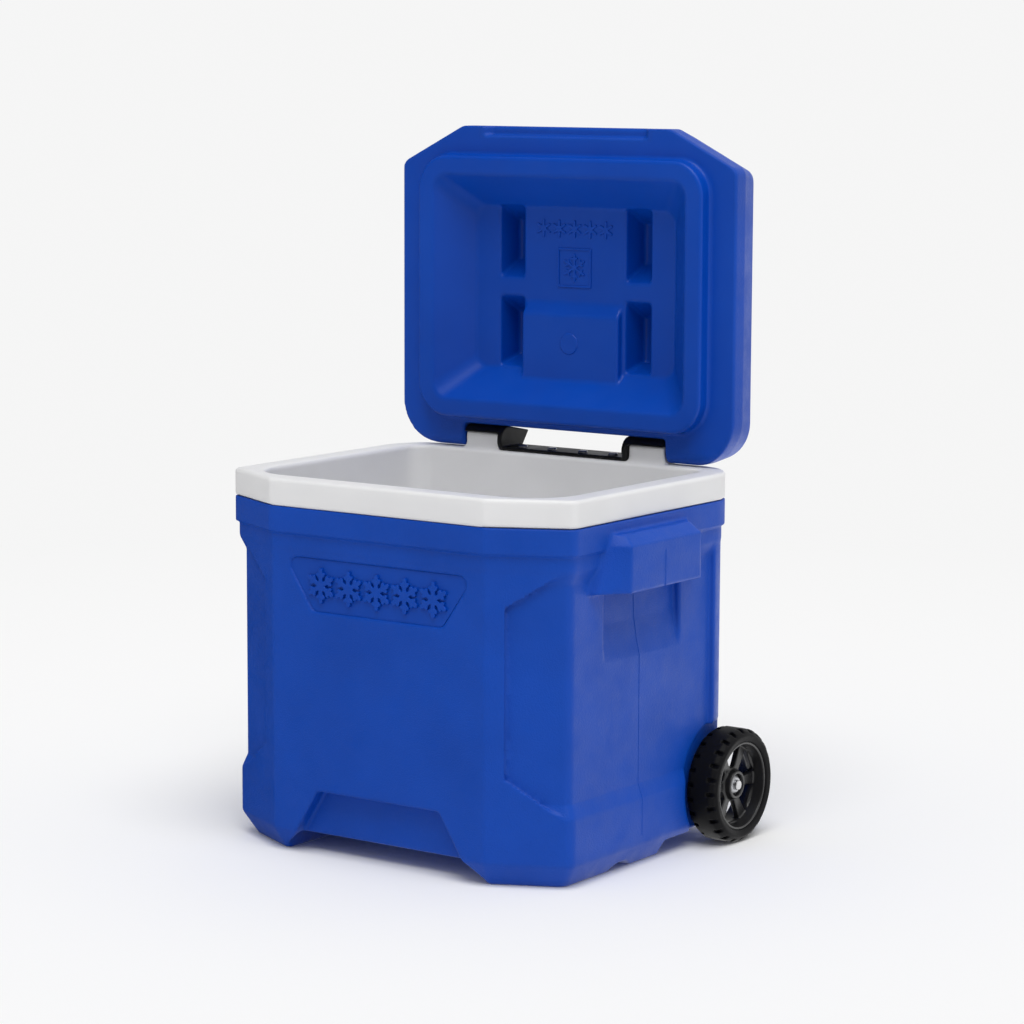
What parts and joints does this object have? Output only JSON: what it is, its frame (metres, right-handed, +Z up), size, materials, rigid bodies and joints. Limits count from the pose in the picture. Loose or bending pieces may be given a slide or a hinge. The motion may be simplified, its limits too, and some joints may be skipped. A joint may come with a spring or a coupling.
{
  "type": "wheeled cooler",
  "caption": "Small hard picnic cooler with a hinged foam-filled lid, octagonal tub, moulded side grips, rear wheels on an axle and a telescoping pull handle.",
  "frame": {"origin": "on the floor, under the middle of the whole cooler's box with its lid open", "axes": "+X to the cooler's right, seen from behind it; +Y to the back, where the wheels, hinge and pull handle are; +Z up. The front faces -Y"},
  "size_m": [0.361, 0.3186, 0.552],
  "materials": {
    "shell_blue": "matte",
    "label_blue": "satin",
    "lid_liner_blue": "satin",
    "liner_white": "satin",
    "foam": "matte",
    "black_plastic": "satin",
    "hub_black": "satin",
    "tyre_black": "matte",
    "grip_black": "matte",
    "button_grey": "satin",
    "tube_black": "satin",
    "tube_grey": "satin",
    "steel": "satin",
    "zinc_plated": "satin"
  },
  "bodies": {
    "cooler_body": {"outer_shell": "shell_blue", "inner_liner": "liner_white", "body_foam": "foam", "base_fill_plug": "shell_blue", "front_label_plate": "label_blue", "hinge_saddle": "black_plastic", "saddle_screws": "steel", "axle": "steel", "wheel_push_nuts": "zinc_plated", "wheel_washers": "black_plastic", "upper_bracket": "black_plastic", "lower_bracket": "black_plastic", "bracket_screws": "steel", "outer_tubes": "tube_black"},
    "lid": {"lid_shell": "shell_blue", "lid_liner": "lid_liner_blue", "lid_foam": "foam", "lid_fill_plug": "lid_liner_blue", "hinge_pins": "steel"},
    "handle_middle_stage": {"mid_tubes": "tube_grey", "mid_tube_collars": "black_plastic"},
    "handle_top_stage": {"inner_tubes": "tube_grey", "handle_grip_lower": "grip_black", "handle_grip_upper": "grip_black"},
    "handle_release": {"release_bar": "black_plastic", "release_button": "button_grey"},
    "right_wheel": {"right_wheel_hub": "hub_black", "right_tyre": "tyre_black"},
    "left_wheel": {"left_wheel_hub": "hub_black", "left_tyre": "tyre_black"}
  },
  "joints": [
    {"name": "lid_hinge", "type": "hinge", "parent": "cooler_body", "child": "lid", "pos_m": [0, 0.0955, 0.29825], "axis": [1, 0, 0], "range_deg": [0, 90]},
    {"name": "handle_lower_slide", "type": "slide", "parent": "cooler_body", "child": "handle_middle_stage", "axis": [0, 0, 1], "range_m": [0, 0.155]},
    {"name": "handle_upper_slide", "type": "slide", "parent": "handle_middle_stage", "child": "handle_top_stage", "axis": [0, 0, 1], "range_m": [0, 0.155]},
    {"name": "release_press", "type": "slide", "parent": "handle_top_stage", "child": "handle_release", "axis": [0, 0, -1], "range_m": [0, 0.003], "stiffness_N_per_m": 600, "springref_m": -0.004},
    {"name": "right_wheel_spin", "type": "hinge", "parent": "cooler_body", "child": "right_wheel", "pos_m": [0.1665, 0.07925, 0.0446], "axis": [1, 0, 0], "continuous": true},
    {"name": "left_wheel_spin", "type": "hinge", "parent": "cooler_body", "child": "left_wheel", "pos_m": [-0.1665, 0.07925, 0.0446], "axis": [1, 0, 0], "continuous": true}
  ]
}
